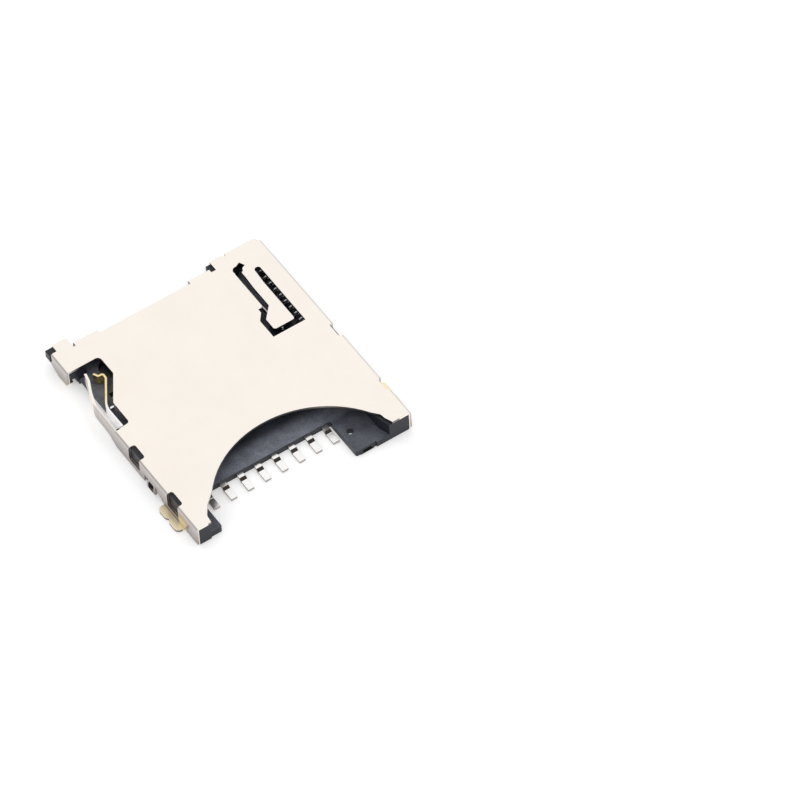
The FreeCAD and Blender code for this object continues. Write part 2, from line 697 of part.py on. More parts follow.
def finger_arc():
    """Curved cut in the front edge with its two run-outs."""
    meet_x = -SHELL_X + 2.10
    meet_y = ARC_Y + math.sqrt(ARC_RADIUS ** 2 - (meet_x - ARC_X) ** 2)
    left = upright([
        (-SHELL_X + 0.94, FRONT - 0.1),
        (-SHELL_X + 1.00, FRONT + 0.48, 0.5),
        (-SHELL_X + 1.40, FRONT + 1.08, 0.5),
        (meet_x, meet_y),
        (meet_x + 0.82, FRONT - 0.1),
    ], ROOF - 0.2, ABOVE)
    right = upright([
        (SHELL_X - 2.42, FRONT - 0.1),
        (SHELL_X - 1.82, FRONT + 1.24),
        (SHELL_X - 1.44, FRONT + 0.80, 0.35),
        (SHELL_X - 1.36, FRONT + 0.14, 0.10),
        (SHELL_X - 1.20, FRONT - 0.1),
    ], ROOF - 0.2, ABOVE)
    return [drum(ARC_X, ARC_Y, ARC_RADIUS, ROOF - 0.2, ABOVE), left, right]


def switch_opening():
    """Cut-out in the plate over the detect switch."""
    return upright([
        (-SHELL_X - 0.28, FOOT_FRONT),
        (SWITCH_TIP_X + 0.36, FOOT_FRONT, 0.25),
        (SWITCH_TIP_X + 0.38, SWITCH_TIP_Y - 0.50, 0.1),
        (SWITCH_X + 0.34, STOP_Y - 0.025, 0.1),
        (SWITCH_X + 0.34, LEAF_ROOT + 0.10, 0.2),
        (-SHELL_X - 0.28, LEAF_ROOT),
    ], ROOF - 0.05, ABOVE)


def rear_edge():
    """Waste behind the rear edge of the plate."""
    low = -0.1
    far = REAR + 1.0
    side = SHELL_X + 0.28
    chamfer = upright([
        (SHELL_X - 0.30, REAR + 0.01),
        (SHELL_X - 0.15, REAR - 0.30),
        (side, REAR - 0.30),
        (side, REAR + 0.01),
    ], low, ABOVE)
    return [
        block(-side, -SHELL_X + 0.40, NUB_FRONT - FIT, far, NUB_LOW - 0.03, ABOVE),
        block(-side, -SHELL_X + 0.40, REAR - 0.10, far, low, ABOVE),
        block(BLOCK_RIGHT + 0.10, REAR_STEP + 0.30, FLOOR_REAR - 0.03, far, low, ABOVE),
        block(REAR_STEP + 0.28, side, REAR, far, low, ABOVE),
        block(PIN_X + 0.30, PIN_X + 0.46, REAR - 0.12, far, low, ABOVE),
        chamfer,
    ]


def leaf_slots():
    """Slots that set the leaf over the cam pin free."""
    low = ROOF - 0.3
    slot_x = LEAF_LEFT - LEAF_SLOT / 2
    curl = upright(strip([
        (slot_x, NECK_FRONT + 0.1),
        (slot_x, LEAF_SLOT_REAR, 0.4),
        (slot_x + 0.535, LEAF_SLOT_REAR + 0.25),
    ], LEAF_SLOT), low, ABOVE)
    elbow = drum(slot_x + 0.10, LEAF_SLOT_REAR, 0.28, low, ABOVE)
    right_x = LEAF_RIGHT + LEAF_SLOT / 2
    right_rear = LEAF_BEND + 0.10
    right = block(LEAF_RIGHT, LEAF_RIGHT + LEAF_SLOT, LEAF_SLOT_FRONT, right_rear, low, ABOVE)
    right_end = drum(right_x, right_rear, LEAF_SLOT / 2, low, ABOVE)
    free_end = block(PADDLE_LEFT - 0.38, LEAF_RIGHT + LEAF_SLOT, LEAF_SLOT_FRONT, LEAF_FREE, low, ABOVE)
    shoulder = upright([
        (PADDLE_LEFT - 0.38, LEAF_SLOT_FRONT),
        (PADDLE_LEFT, LEAF_SLOT_FRONT),
        (PADDLE_LEFT, PADDLE_REAR, 0.1),
        (LEAF_LEFT, NECK_FRONT),
        (LEAF_LEFT, NECK_FRONT + 0.12),
        (LEAF_LEFT - LEAF_SLOT, NECK_FRONT + 0.12),
        (PADDLE_LEFT - 0.38, PADDLE_REAR),
    ], low, ABOVE)
    return [curl, elbow, right, right_end, free_end, shoulder]


def cam_leaf():
    """Leaf stepped down on the cam pin."""
    middle_z = HEIGHT - SHEET / 2
    step = strip([
        (LEAF_BEND + 0.30, middle_z),
        (LEAF_BEND, middle_z, 0.3),
        (LEAF_BEND - 0.70, middle_z - LEAF_DROP, 0.3),
        (LEAF_FREE, middle_z - LEAF_DROP),
    ], SHEET)
    plan = [
        (LEAF_LEFT, LEAF_BEND + 0.20),
        (LEAF_LEFT, NECK_FRONT),
        (PADDLE_LEFT, PADDLE_REAR, 0.1),
        (PADDLE_LEFT, LEAF_FREE, 0.15),
        (LEAF_RIGHT, LEAF_FREE, 0.15),
        (LEAF_RIGHT, LEAF_BEND + 0.20),
    ]
    return across(step, PADDLE_LEFT - 0.1, LEAF_RIGHT).common(upright(plan, 0, ABOVE))


def solder_tab(side, y0, y1, reach):
    """Tab folded outward from a side wall, its outer edge in two lobes."""
    fold = along(strip([
        (side * WALL_X, WALL_LOW + 0.30),
        (side * WALL_X, SHEET / 2, FOLD),
        (side * reach, SHEET / 2),
    ], SHEET), y0, y1)
    middle = (y0 + y1) / 2
    plan = upright([
        (side * (BODY_X - 0.5), y0),
        (side * reach, y0, TAB_ROUND),
        (side * reach, middle - 0.20, 0.20),
        (side * (reach - TAB_NOTCH), middle, 0.10),
        (side * reach, middle + 0.20, 0.20),
        (side * reach, y1, TAB_ROUND),
        (side * (BODY_X - 0.5), y1),
    ], -0.1, ABOVE)
    return fold.common(plan)


def inward_foot(y0, y1, reach, low, top):
    """Leg of the left wall folded inward under the moulding."""
    level = low + SHEET / 2
    fold = along(strip([
        (-WALL_X, top),
        (-WALL_X, level, FOLD),
        (reach, level),
    ], SHEET), y0, y1)
    face = across([
        (y0, low, 0.12),
        (y1, low, 0.12),
        (y1, top),
        (y0, top),
    ], -SHELL_X, reach)
    return fold.common(face)


def rear_wall_waste():
    """Waste under the sloping lower edge of the rear left wall."""
    slope_front = FOOT_REAR + 0.15
    slope_rear = REAR - 0.10
    return across([
        (FOOT_FRONT - 0.1, -0.1),
        (REAR + 0.1, -0.1),
        (REAR + 0.1, STEP_LOW),
        (slope_rear, STEP_LOW),
        (slope_front, FOOT_LOW),
        (FOOT_FRONT, FOOT_LOW, 0.40),
        (FOOT_FRONT, FOOT_LOW + 0.60),
        (FOOT_FRONT - 0.1, FOOT_LOW + 0.60),
    ], -SHELL_X - 0.1, FOOT_REACH + 0.05)


def hook():
    """Leg of the left wall bulged outward and folded in at the board."""
    outer = -WALL_X - HOOK_BULGE
    leg = along(strip([
        (-WALL_X, HOOK_TOP + 0.10),
        (outer, HOOK_TOP - 0.25, 0.3),
        (outer, SHEET / 2, FOLD),
        (HOOK_REACH, SHEET / 2),
    ], SHEET), HOOK_FRONT, HOOK_REAR)
    face = across([
        (HOOK_FRONT, 0, 0.12),
        (HOOK_REAR, 0, 0.12),
        (HOOK_REAR, ABOVE),
        (HOOK_FRONT, ABOVE),
    ], outer - SHEET, HOOK_REACH)
    window = across([
        (HOOK_FRONT + HOOK_FRAME, 0.10),
        (HOOK_REAR - HOOK_FRAME, 0.10),
        (HOOK_REAR - HOOK_FRAME, HOOK_TOP, 0.12),
        (HOOK_FRONT + HOOK_FRAME, HOOK_TOP, 0.12),
    ], outer - SHEET, -SHELL_X + SHEET / 2)
    return leg.common(face).cut(window)


def hook_waste():
    """Waste between the left tab and the hook, and behind the hook's window."""
    slope = across([
        (LEFT_TAB_REAR + 0.08, -0.1),
        (HOOK_FRONT, -0.1),
        (HOOK_FRONT, NOTCH_TOP),
        (LEFT_TAB_REAR + 0.08, WALL_LOW - 0.05),
    ], -SHELL_X - 0.2, -BODY_X + 0.15)
    window = across([
        (HOOK_FRONT + HOOK_FRAME, SHEET),
        (HOOK_REAR - HOOK_FRAME, SHEET),
        (HOOK_REAR - HOOK_FRAME, HOOK_TOP, 0.12),
        (HOOK_FRONT + HOOK_FRAME, HOOK_TOP, 0.12),
    ], -SHELL_X - 0.1, -BODY_X + 0.05)
    return [slope, window]


def edge_window(side, middle, low, inset):
    """Rounded opening over the fold between the plate and a side wall."""
    front = middle - EDGE_WINDOW / 2
    rear = middle + EDGE_WINDOW / 2
    inner = side * (SHELL_X - inset)
    outer = side * (SHELL_X + 0.1)
    from_side = across([
        (front, low, WINDOW_ROUND),
        (rear, low, WINDOW_ROUND),
        (rear, ABOVE),
        (front, ABOVE),
    ], min(inner, outer), max(inner, outer))
    from_top = upright([
        (inner, front, WINDOW_ROUND),
        (inner, rear, WINDOW_ROUND),
        (outer, rear),
        (outer, front),
    ], 0, ABOVE)
    return from_side.common(from_top)


def rear_loop(x0, x1):
    """Loop folded down from the rear edge, ending in a solder foot."""
    middle = (x0 + x1) / 2
    edge = 0.28
    fold = across(strip([
        (FLOOR_REAR - 0.35, HEIGHT - SHEET / 2),
        (LOOP_Y, HEIGHT - SHEET / 2, FOLD),
        (LOOP_Y, SHEET / 2, FOLD),
        (LOOP_FOOT, SHEET / 2),
    ], SHEET), x0, x1)
    front = along([
        (x0, HEIGHT),
        (x1, HEIGHT),
        (x1, 0.30, 0.25),
        (middle + FOOT_WIDTH / 2, 0.30),
        (middle + FOOT_WIDTH / 2, 0),
        (middle - FOOT_WIDTH / 2, 0),
        (middle - FOOT_WIDTH / 2, 0.30),
        (x0, 0.30, 0.25),
    ], FLOOR_REAR - 0.95, REAR + 0.5)
    window = block(x0 + edge, x1 - edge, FLOOR_REAR - 0.05, REAR, 0.55, HEIGHT - 0.30)
    return fold.common(front).cut(window)


def ground_leaf():
    """End of the left wall, sprung inward toward the detect spring."""
    root = LEAF_ROOT - 0.05
    path = [
        (-WALL_X, root),
        (-WALL_X, 2.65, 1.2),
        (-WALL_X + 0.325, 3.68, 3.0),
        (-WALL_X + 0.675, 4.45, 1.2),
        (-WALL_X + 0.775, 4.97),
    ]
    side = across([
        (root, WALL_LOW),
        (1.30, 0.50),
        (2.60, 0.55),
        (4.60, 0.45),
        (5.10, 0.45),
        (5.10, HEIGHT - 0.04),
        (root, HEIGHT - 0.04),
    ], -SHELL_X - 0.1, -SHELL_X + 1.12)
    return upright(strip(path, SHEET), 0, HEIGHT).common(side)


def shell():
    """Cover: plate, walls, tabs, loops and leaves in one piece."""
    outer = SHELL_X + 0.1
    inner = BODY_X - 0.15
    wall_cuts = [
        block(-outer, -inner, LEAF_ROOT, FOOT_FRONT, 0, ABOVE),
        block(-outer, -inner, HOOK_REAR, NOTCH_REAR, 0, NOTCH_TOP),
        block(inner, outer, LUG_FRONT - 0.05, LUG_REAR + 0.05, 0, TRACK_FLOOR + 0.05),
        edge_window(-1, LEFT_WINDOW, HIGH_WINDOW_LOW, 0.42),
        edge_window(-1, FRONT_WINDOW, WINDOW_LOW, 0.37),
        edge_window(1, RIGHT_WINDOW, HIGH_WINDOW_LOW, 0.27),
        edge_window(1, FRONT_WINDOW, WINDOW_LOW, 0.22),
    ]
    skin = shell_skin().cut(wall_cuts + finger_arc() + [switch_opening()] + rear_edge())
    leaf_room = block(LEAF_LEFT - 0.01, LEAF_RIGHT + 0.01, LEAF_FREE, LEAF_BEND, ROOF - 0.05, ABOVE)
    paddle_room = block(PADDLE_LEFT - 0.01, LEAF_RIGHT, LEAF_FREE - 0.1, NECK_FRONT, ROOF - 0.05, ABOVE)
    skin = skin.cut(leaf_slots() + [leaf_room, paddle_room])
    parts = [
        skin,
        cam_leaf(),
        ground_leaf(),
        solder_tab(-1, LEFT_TAB_FRONT, LEFT_TAB_REAR, TAB_X),
        solder_tab(1, RIGHT_TAB_FRONT, RIGHT_TAB_REAR, TAB_X),
        solder_tab(1, REAR_TAB_FRONT, REAR_TAB_REAR, TAB_X - 0.08),
        hook(),
        inward_foot(FOOT_FRONT, FOOT_REAR, FOOT_REACH, FOOT_LOW, 0.90),
    ]
    for x0, x1 in LOOPS:
        parts.append(rear_loop(x0, x1))
    return joined(parts).cut(hook_waste() + [rear_wall_waste()])


def export(name, shape):
    """Centre a finished piece on the connector and write it."""
    solid = shape.copy()
    solid.translate(Vector(0, MIDDLE_SHIFT, 0))
    solid.exportStep("parts/" + name + ".step")


def build():
    os.makedirs("parts", exist_ok=True)
    leads = [contact(index) for index in range(CONTACTS)]
    stiffener = floor_stiffener()
    switch = switch_contact()
    for index, lead in enumerate(leads):
        export("contact_" + str(index + 1), lead)
    export("floor_stiffener", stiffener)
    export("switch_contact", switch)
    export("housing", housing(leads + [stiffener, switch]))
    export("shell", shell())
    export("slider", slider())
    export("cam_pin", cam_pin())
    export("coil_spring", coil_spring())


build()
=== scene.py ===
import math

import bpy
import numpy as np
from mathutils import Matrix, Vector


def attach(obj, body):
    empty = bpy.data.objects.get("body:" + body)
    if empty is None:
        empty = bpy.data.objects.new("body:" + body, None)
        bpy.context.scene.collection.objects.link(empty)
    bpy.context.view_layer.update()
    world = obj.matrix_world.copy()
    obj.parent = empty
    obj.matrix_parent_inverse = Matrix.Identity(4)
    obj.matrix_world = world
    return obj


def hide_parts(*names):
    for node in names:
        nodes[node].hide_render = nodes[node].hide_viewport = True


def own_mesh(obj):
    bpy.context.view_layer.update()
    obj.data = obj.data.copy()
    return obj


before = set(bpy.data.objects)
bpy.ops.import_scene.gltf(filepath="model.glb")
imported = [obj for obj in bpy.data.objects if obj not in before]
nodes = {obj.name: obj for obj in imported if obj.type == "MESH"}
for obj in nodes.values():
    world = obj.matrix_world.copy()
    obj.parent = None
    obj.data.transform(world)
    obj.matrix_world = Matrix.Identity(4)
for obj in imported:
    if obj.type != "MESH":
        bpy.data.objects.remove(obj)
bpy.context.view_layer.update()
MM = 0.001


# Housing. The insulator is one moulding of black-grey liquid crystal polymer, injected
# round the contacts and the stiffener. The floor's two level faces are painted lighter and
# speckled, a painted sheen, turned down inside a box under the shell and partly on the
# leg faces, and the plastic is plain elsewhere.
LCP_DEEP = "#0f1017"
LCP_LIT = "#2a2c39"
SHEEN_SPECKLE_DARK = "#51545e"
SHEEN_SPECKLE_LIGHT = "#8a8e9a"
LCP_MOTTLE = 0.9 * MM
LCP_GRAIN = 0.07 * MM
LCP_EDGE = 0.02 * MM
SHEEN_TOP = 0.47 * MM
SHEEN_CUT_MIDDLE = ((-0.3, -1.1, 0.45), (6.0, 2.9, 0.2))
SHEEN_CUT_LEGS = ((0.0, -6.4, 0.45), (7.2, 1.5, 0.2))
LEG_SHEEN_CUT = 0.65


def linear(colour):
    """sRGB hex value as linear red, green, blue and alpha."""
    channels = [int(colour[place:place + 2], 16) / 255 for place in (1, 3, 5)]
    return [c / 12.92 if c <= 0.04045 else ((c + 0.055) / 1.055) ** 2.4 for c in channels] + [1.0]


def add_node(material, kind, settings=None, links=None):
    """Add one node: settings are socket values or properties, links are sockets that feed it."""
    tree = material.node_tree
    node = tree.nodes.new(kind)
    for key, value in (settings or {}).items():
        if isinstance(key, int) or key in node.inputs:
            node.inputs[key].default_value = value
        else:
            setattr(node, key, value)
    for key, source in (links or {}).items():
        tree.links.new(source, node.inputs[key])
    return node


def new_material(name):
    """Empty node material, its output node and the Object coordinates of the piece."""
    material = bpy.data.materials.new(name)
    material.use_nodes = True
    material.node_tree.nodes.clear()
    place = add_node(material, "ShaderNodeTexCoord").outputs["Object"]
    return material, place


def inside_box(material, place, centre, half):
    """One inside a box and nothing outside, fading over its outer quarter. The distance
    from the centre is divided by the half sizes, and its largest part counts."""
    offset = add_node(material, "ShaderNodeVectorMath", {
        "operation": "SUBTRACT", 1: [c * MM for c in centre]}, {0: place})
    share = add_node(material, "ShaderNodeVectorMath", {
        "operation": "DIVIDE", 1: [h * MM for h in half]}, {0: offset.outputs["Vector"]})
    size = add_node(material, "ShaderNodeVectorMath", {"operation": "ABSOLUTE"}, {0: share.outputs["Vector"]})
    parts = add_node(material, "ShaderNodeSeparateXYZ", {}, {"Vector": size.outputs["Vector"]})
    wide = add_node(material, "ShaderNodeMath", {"operation": "MAXIMUM"}, {
        0: parts.outputs["X"], 1: parts.outputs["Y"]})
    widest = add_node(material, "ShaderNodeMath", {"operation": "MAXIMUM"}, {
        0: wide.outputs["Value"], 1: parts.outputs["Z"]})
    inside = add_node(material, "ShaderNodeMapRange", {
        "interpolation_type": "SMOOTHSTEP", "From Min": 0.8, "From Max": 1.05, "To Min": 1.0, "To Max": 0.0},
        {"Value": widest.outputs["Value"]})
    return inside.outputs["Result"]


def moulded_lcp(name, deep, lit):
    """Glass-filled LCP as moulded: mottled charcoal, painted sheen where level and low, soft edges."""
    material, place = new_material(name)
    mottle = add_node(material, "ShaderNodeTexNoise", {
        "Scale": 1 / LCP_MOTTLE, "Detail": 6.0, "Roughness": 0.62, "Distortion": 0.6}, {"Vector": place})
    grain = add_node(material, "ShaderNodeTexNoise", {
        "Scale": 1 / LCP_GRAIN, "Detail": 2.0}, {"Vector": place})
    smooth = add_node(material, "ShaderNodeMix", {
        "data_type": "RGBA", 6: linear(deep), 7: linear(lit)}, {0: mottle.outputs["Fac"]})
    speckle = add_node(material, "ShaderNodeMath", {"operation": "ADD"}, {
        0: mottle.outputs["Fac"], 1: grain.outputs["Fac"]})
    spread = add_node(material, "ShaderNodeMapRange", {
        "From Min": 0.7, "From Max": 1.3}, {"Value": speckle.outputs["Value"]})
    # Painted sheen: the low level faces get this lighter speckled colour.
    sheen_speckle = add_node(material, "ShaderNodeMix", {
        "data_type": "RGBA", 6: linear(SHEEN_SPECKLE_DARK), 7: linear(SHEEN_SPECKLE_LIGHT)}, {0: spread.outputs["Result"]})
    facing = add_node(material, "ShaderNodeNewGeometry")
    tilt = add_node(material, "ShaderNodeSeparateXYZ", {}, {"Vector": facing.outputs["True Normal"]})
    slope = add_node(material, "ShaderNodeMath", {"operation": "ABSOLUTE"}, {0: tilt.outputs["Z"]})
    level = add_node(material, "ShaderNodeMapRange", {
        "From Min": 0.7, "From Max": 0.95}, {"Value": slope.outputs["Value"]})
    axes = add_node(material, "ShaderNodeSeparateXYZ", {}, {"Vector": place})
    low = add_node(material, "ShaderNodeMapRange", {
        "From Min": SHEEN_TOP, "From Max": SHEEN_TOP + 0.02 * MM, "To Min": 1.0, "To Max": 0.0},
        {"Value": axes.outputs["Z"]})
    flat = add_node(material, "ShaderNodeMath", {"operation": "MULTIPLY"}, {
        0: level.outputs["Result"], 1: low.outputs["Result"]})
    # The painted sheen is turned down inside the two boxes.
    legs = add_node(material, "ShaderNodeMath", {"operation": "MULTIPLY", 1: LEG_SHEEN_CUT}, {
        0: inside_box(material, place, *SHEEN_CUT_LEGS)})
    sheen_cut = add_node(material, "ShaderNodeMath", {"operation": "MAXIMUM"}, {
        0: inside_box(material, place, *SHEEN_CUT_MIDDLE), 1: legs.outputs["Value"]})
    kept = add_node(material, "ShaderNodeMapRange", {
        "To Min": 1.0, "To Max": 0.25}, {"Value": sheen_cut.outputs["Value"]})
    sheen_share = add_node(material, "ShaderNodeMath", {"operation": "MULTIPLY"}, {
        0: flat.outputs["Value"], 1: kept.outputs["Result"]})
    colour = add_node(material, "ShaderNodeMix", {"data_type": "RGBA"}, {
        0: sheen_share.outputs["Value"], 6: smooth.outputs[2], 7: sheen_speckle.outputs[2]})
    sheen = add_node(material, "ShaderNodeMapRange", {
        "From Min": 0.3, "From Max": 0.7, "To Min": 0.36, "To Max": 0.48},
        {"Value": mottle.outputs["Fac"]})
    edge = add_node(material, "ShaderNodeBevel", {"Radius": LCP_EDGE})
    bump = add_node(material, "ShaderNodeBump", {
        "Strength": 0.5, "Distance": 0.006 * MM}, {
        "Height": grain.outputs["Fac"], "Normal": edge.outputs["Normal"]})
    surface = add_node(material, "ShaderNodeBsdfPrincipled", {
        "IOR": 1.5, "Specular IOR Level": 0.4}, {
        "Base Color": colour.outputs[2], "Roughness": sheen.outputs["Result"],
        "Normal": bump.outputs["Normal"]})
    add_node(material, "ShaderNodeOutputMaterial", {}, {"Surface": surface.outputs["BSDF"]})
    return material


def dress(name, material):
    """Put a material on a node of the frame."""
    mesh = nodes[name].data
    mesh.materials.clear()
    mesh.materials.append(material)


dress("housing", moulded_lcp("charcoal LCP, moulded", LCP_DEEP, LCP_LIT))


# Contacts and stiffener. Strips of copper alloy, stamped out of plated sheet and bent:
# nickel on both faces, hard gold on the dimpled tips that wipe the card, bare and dull at
# the cut sides, and painted shade on the joggle where the tail is set down. They're moulded into the floor.
NICKEL = "#ffffff"
NICKEL_DULL = "#f4f2ef"
CONTACT_GOLD = "#f2d999"
BARE_ALLOY = "#aaa5a1"
JOGGLE_PAINTED_SHADE = "#3d3733"
GOLD_FROM = 2.1 * MM
GOLD_BLUR = 0.15 * MM
NOWHERE = 1.0
JOGGLE_FRONT = -5.47 * MM
JOGGLE_REAR = -5.25 * MM
PLATING_CLOUD = 0.35 * MM
STRIP_EDGE = 0.015 * MM


def plated_strip(name, gold, gold_from, blur, cut_below, joggle_front, joggle_rear):
    """Nickel over strip: gold behind one place along Y, bare where the face stands steeper
    than the given upward part of its normal, painted shade between the two ends of the joggle."""
    material, place = new_material(name)
    cloud = add_node(material, "ShaderNodeTexNoise", {
        "Scale": 1 / PLATING_CLOUD, "Detail": 4.0}, {"Vector": place})
    nickel = add_node(material, "ShaderNodeMix", {
        "data_type": "RGBA", 6: linear(NICKEL_DULL), 7: linear(NICKEL)}, {0: cloud.outputs["Fac"]})
    axes = add_node(material, "ShaderNodeSeparateXYZ", {}, {"Vector": place})
    plated = add_node(material, "ShaderNodeMapRange", {
        "From Min": gold_from - blur, "From Max": gold_from + blur}, {"Value": axes.outputs["Y"]})
    flashed = add_node(material, "ShaderNodeMix", {
        "data_type": "RGBA", 7: linear(gold)}, {0: plated.outputs["Result"], 6: nickel.outputs[2]})
    facing = add_node(material, "ShaderNodeNewGeometry")
    tilt = add_node(material, "ShaderNodeSeparateXYZ", {}, {"Vector": facing.outputs["True Normal"]})
    slope = add_node(material, "ShaderNodeMath", {"operation": "ABSOLUTE"}, {0: tilt.outputs["Z"]})
    flat = add_node(material, "ShaderNodeMapRange", {
        "From Min": cut_below, "From Max": cut_below + 0.1}, {"Value": slope.outputs["Value"]})
    cut = add_node(material, "ShaderNodeMix", {
        "data_type": "RGBA", 6: linear(BARE_ALLOY)}, {0: flat.outputs["Result"], 7: flashed.outputs[2]})
    behind = add_node(material, "ShaderNodeMapRange", {
        "From Min": joggle_front, "From Max": joggle_front + 0.02 * MM}, {"Value": axes.outputs["Y"]})
    before = add_node(material, "ShaderNodeMapRange", {
        "From Min": joggle_rear - 0.02 * MM, "From Max": joggle_rear, "To Min": 1.0, "To Max": 0.0},
        {"Value": axes.outputs["Y"]})
    joggle = add_node(material, "ShaderNodeMath", {"operation": "MULTIPLY"}, {
        0: behind.outputs["Result"], 1: before.outputs["Result"]})
    # Painted shade: the joggle's bend is painted dark.
    colour = add_node(material, "ShaderNodeMix", {
        "data_type": "RGBA", 7: linear(JOGGLE_PAINTED_SHADE)}, {0: joggle.outputs["Value"], 6: cut.outputs[2]})
    sheen = add_node(material, "ShaderNodeMapRange", {
        "From Min": 0.3, "From Max": 0.7, "To Min": 0.2, "To Max": 0.32}, {"Value": cloud.outputs["Fac"]})
    edge = add_node(material, "ShaderNodeBevel", {"Radius": STRIP_EDGE})
    surface = add_node(material, "ShaderNodeBsdfPrincipled", {"Metallic": 1.0}, {
        "Base Color": colour.outputs[2], "Roughness": sheen.outputs["Result"],
        "Normal": edge.outputs["Normal"]})
    add_node(material, "ShaderNodeOutputMaterial", {}, {"Surface": surface.outputs["BSDF"]})
    return material


contact_plating = plated_strip(
    "nickel and gold plated strip", CONTACT_GOLD, GOLD_FROM, GOLD_BLUR, 0.3, JOGGLE_FRONT, JOGGLE_REAR)
for number in range(1, 9):
    dress("contact_" + str(number), contact_plating)
dress("floor_stiffener", plated_strip(
    "nickel plated strip", CONTACT_GOLD, NOWHERE, GOLD_BLUR, 0.3, NOWHERE, NOWHERE))


# Detect switch. A thin strip of gold-flashed spring alloy stands on edge and bends
# inward, where the card pushes it against the leaf. Its base and tail are left in nickel.
SWITCH_GOLD = "#f5e0a6"
GOLD_BLADE = 2.8 * MM
dress("switch_contact", plated_strip(
    "gold flashed spring strip", SWITCH_GOLD, GOLD_BLADE, 0.3 * MM, -1.0, NOWHERE, NOWHERE))


# Slider. A small moulded carriage of the same polymer as the housing, a shade darker.
# It carries the heart-shaped groove and runs in the floor's slot.
dress("slider", moulded_lcp("slider LCP, moulded", "#101116", "#22242b"))


# Eject spring. Bright drawn music wire wound in eighteen turns, its end turns closed,
# held on two moulded pegs between the slider's arm and the rear block.
SPRING_AXIS_X = 5.93 * MM
SPRING_AXIS_Z = 0.78 * MM
SPRING_FRONT = -1.34 * MM
SPRING_REAR = 7.06 * MM
COIL_RADIUS = 0.36 * MM
WIRE_RADIUS = 0.06 * MM
COIL_TURNS = 18
CLOSED_TURNS = 1.25
DIE_LINES = 0.08 * MM


def wire_mesh(name, path, side, radius, around):
    """Round wire: at each point of the path a circle in the plane of the side vector and
    the vector square to it and to the path, with a flat cap at both ends."""
    ahead = np.gradient(path, axis=0)
    ahead /= np.linalg.norm(ahead, axis=1)[:, None]
    up = np.cross(side, ahead)
    up /= np.linalg.norm(up, axis=1)[:, None]
    out = np.cross(ahead, up)
    angle = np.arange(around) * 2 * math.pi / around
    ring = out[:, None] * np.cos(angle)[None, :, None] + up[:, None] * np.sin(angle)[None, :, None]
    points = (path[:, None] + radius * ring).reshape(-1, 3)
    count = len(path)
    corner = np.arange(count * around).reshape(count, around)
    following = np.roll(corner, -1, axis=1)
    quads = np.stack([corner[:-1], following[:-1], following[1:], corner[1:]], axis=-1).reshape(-1, 4)
    mesh = bpy.data.meshes.new(name)
    caps = [corner[0][::-1].tolist(), corner[-1].tolist()]
    mesh.from_pydata(points.tolist(), [], quads.tolist() + caps)
    mesh.shade_smooth()
    piece = bpy.data.objects.new(name, mesh)
    bpy.context.scene.collection.objects.link(piece)
    return piece


def drawn_wire(name, colour, dark):
    """Bright drawn steel wire: mirror-like with faint die lines round it."""
    material, place = new_material(name)
    lines = add_node(material, "ShaderNodeTexNoise", {
        "Scale": 1 / DIE_LINES, "Detail": 2.0}, {"Vector": place})
    tone = add_node(material, "ShaderNodeMix", {
        "data_type": "RGBA", 6: linear(dark), 7: linear(colour)}, {0: lines.outputs["Fac"]})
    surface = add_node(material, "ShaderNodeBsdfPrincipled", {
        "Metallic": 1.0, "Roughness": 0.18}, {"Base Color": tone.outputs[2]})
    add_node(material, "ShaderNodeOutputMaterial", {}, {"Surface": surface.outputs["BSDF"]})
    return material


spring_steel = drawn_wire("drawn spring wire", "#c2c2c6", "#8f9096")
turn = np.linspace(0, COIL_TURNS, COIL_TURNS * 40 + 1)
rest_length = SPRING_REAR - SPRING_FRONT - 2 * WIRE_RADIUS
closed = CLOSED_TURNS * 2 * WIRE_RADIUS
rise = np.interp(turn, [0, CLOSED_TURNS, COIL_TURNS - CLOSED_TURNS, COIL_TURNS],
                 [0, closed, rest_length - closed, rest_length])
outward = np.stack([np.cos(2 * math.pi * turn), 0 * turn, np.sin(2 * math.pi * turn)], axis=1)
coil_path = outward * COIL_RADIUS + np.array([SPRING_AXIS_X, SPRING_FRONT + WIRE_RADIUS, SPRING_AXIS_Z])
coil_path[:, 1] += rise
coil = wire_mesh("eject_spring_wire", coil_path, outward, WIRE_RADIUS, 10)
coil.data.materials.append(spring_steel)
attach(coil, "connector")
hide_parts("coil_spring")
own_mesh(coil)


# Cam pin. A length of the same kind of wire, bent to a long staple: one leg turns in the
# housing's rear hole, the other follows the heart groove under the shell's leaf.
PIN_RADIUS = 0.11 * MM
PIN_BEND = 0.20 * MM
PIN_LEG = np.array([4.22, 6.99, 0.08]) * MM
PIN_TIP = np.array([4.63, 1.58, 0.60]) * MM
PIN_HEIGHT = 0.98 * MM

run = PIN_TIP - PIN_LEG
run[2] = 0
run_length = np.linalg.norm(run)
run /= run_length
quarter = np.linspace(0, math.pi / 2, 9)
rear_along = PIN_BEND * (1 - np.cos(quarter))
rear_up = PIN_HEIGHT - PIN_BEND + PIN_BEND * np.sin(quarter)
staple_along = np.concatenate([[0], rear_along, run_length - rear_along[::-1], [run_length]])
staple_up = np.concatenate([[PIN_LEG[2]], rear_up, rear_up[::-1], [PIN_TIP[2]]])
pin_path = PIN_LEG * [1, 1, 0] + staple_along[:, None] * run + staple_up[:, None] * np.array([0, 0, 1])
pin_side = np.tile([-run[1], run[0], 0], (len(pin_path), 1))
pin = wire_mesh("cam_pin_wire", pin_path, pin_side, PIN_RADIUS, 14)
pin.data.materials.append(spring_steel)
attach(pin, "cam_pin")
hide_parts("cam_pin")


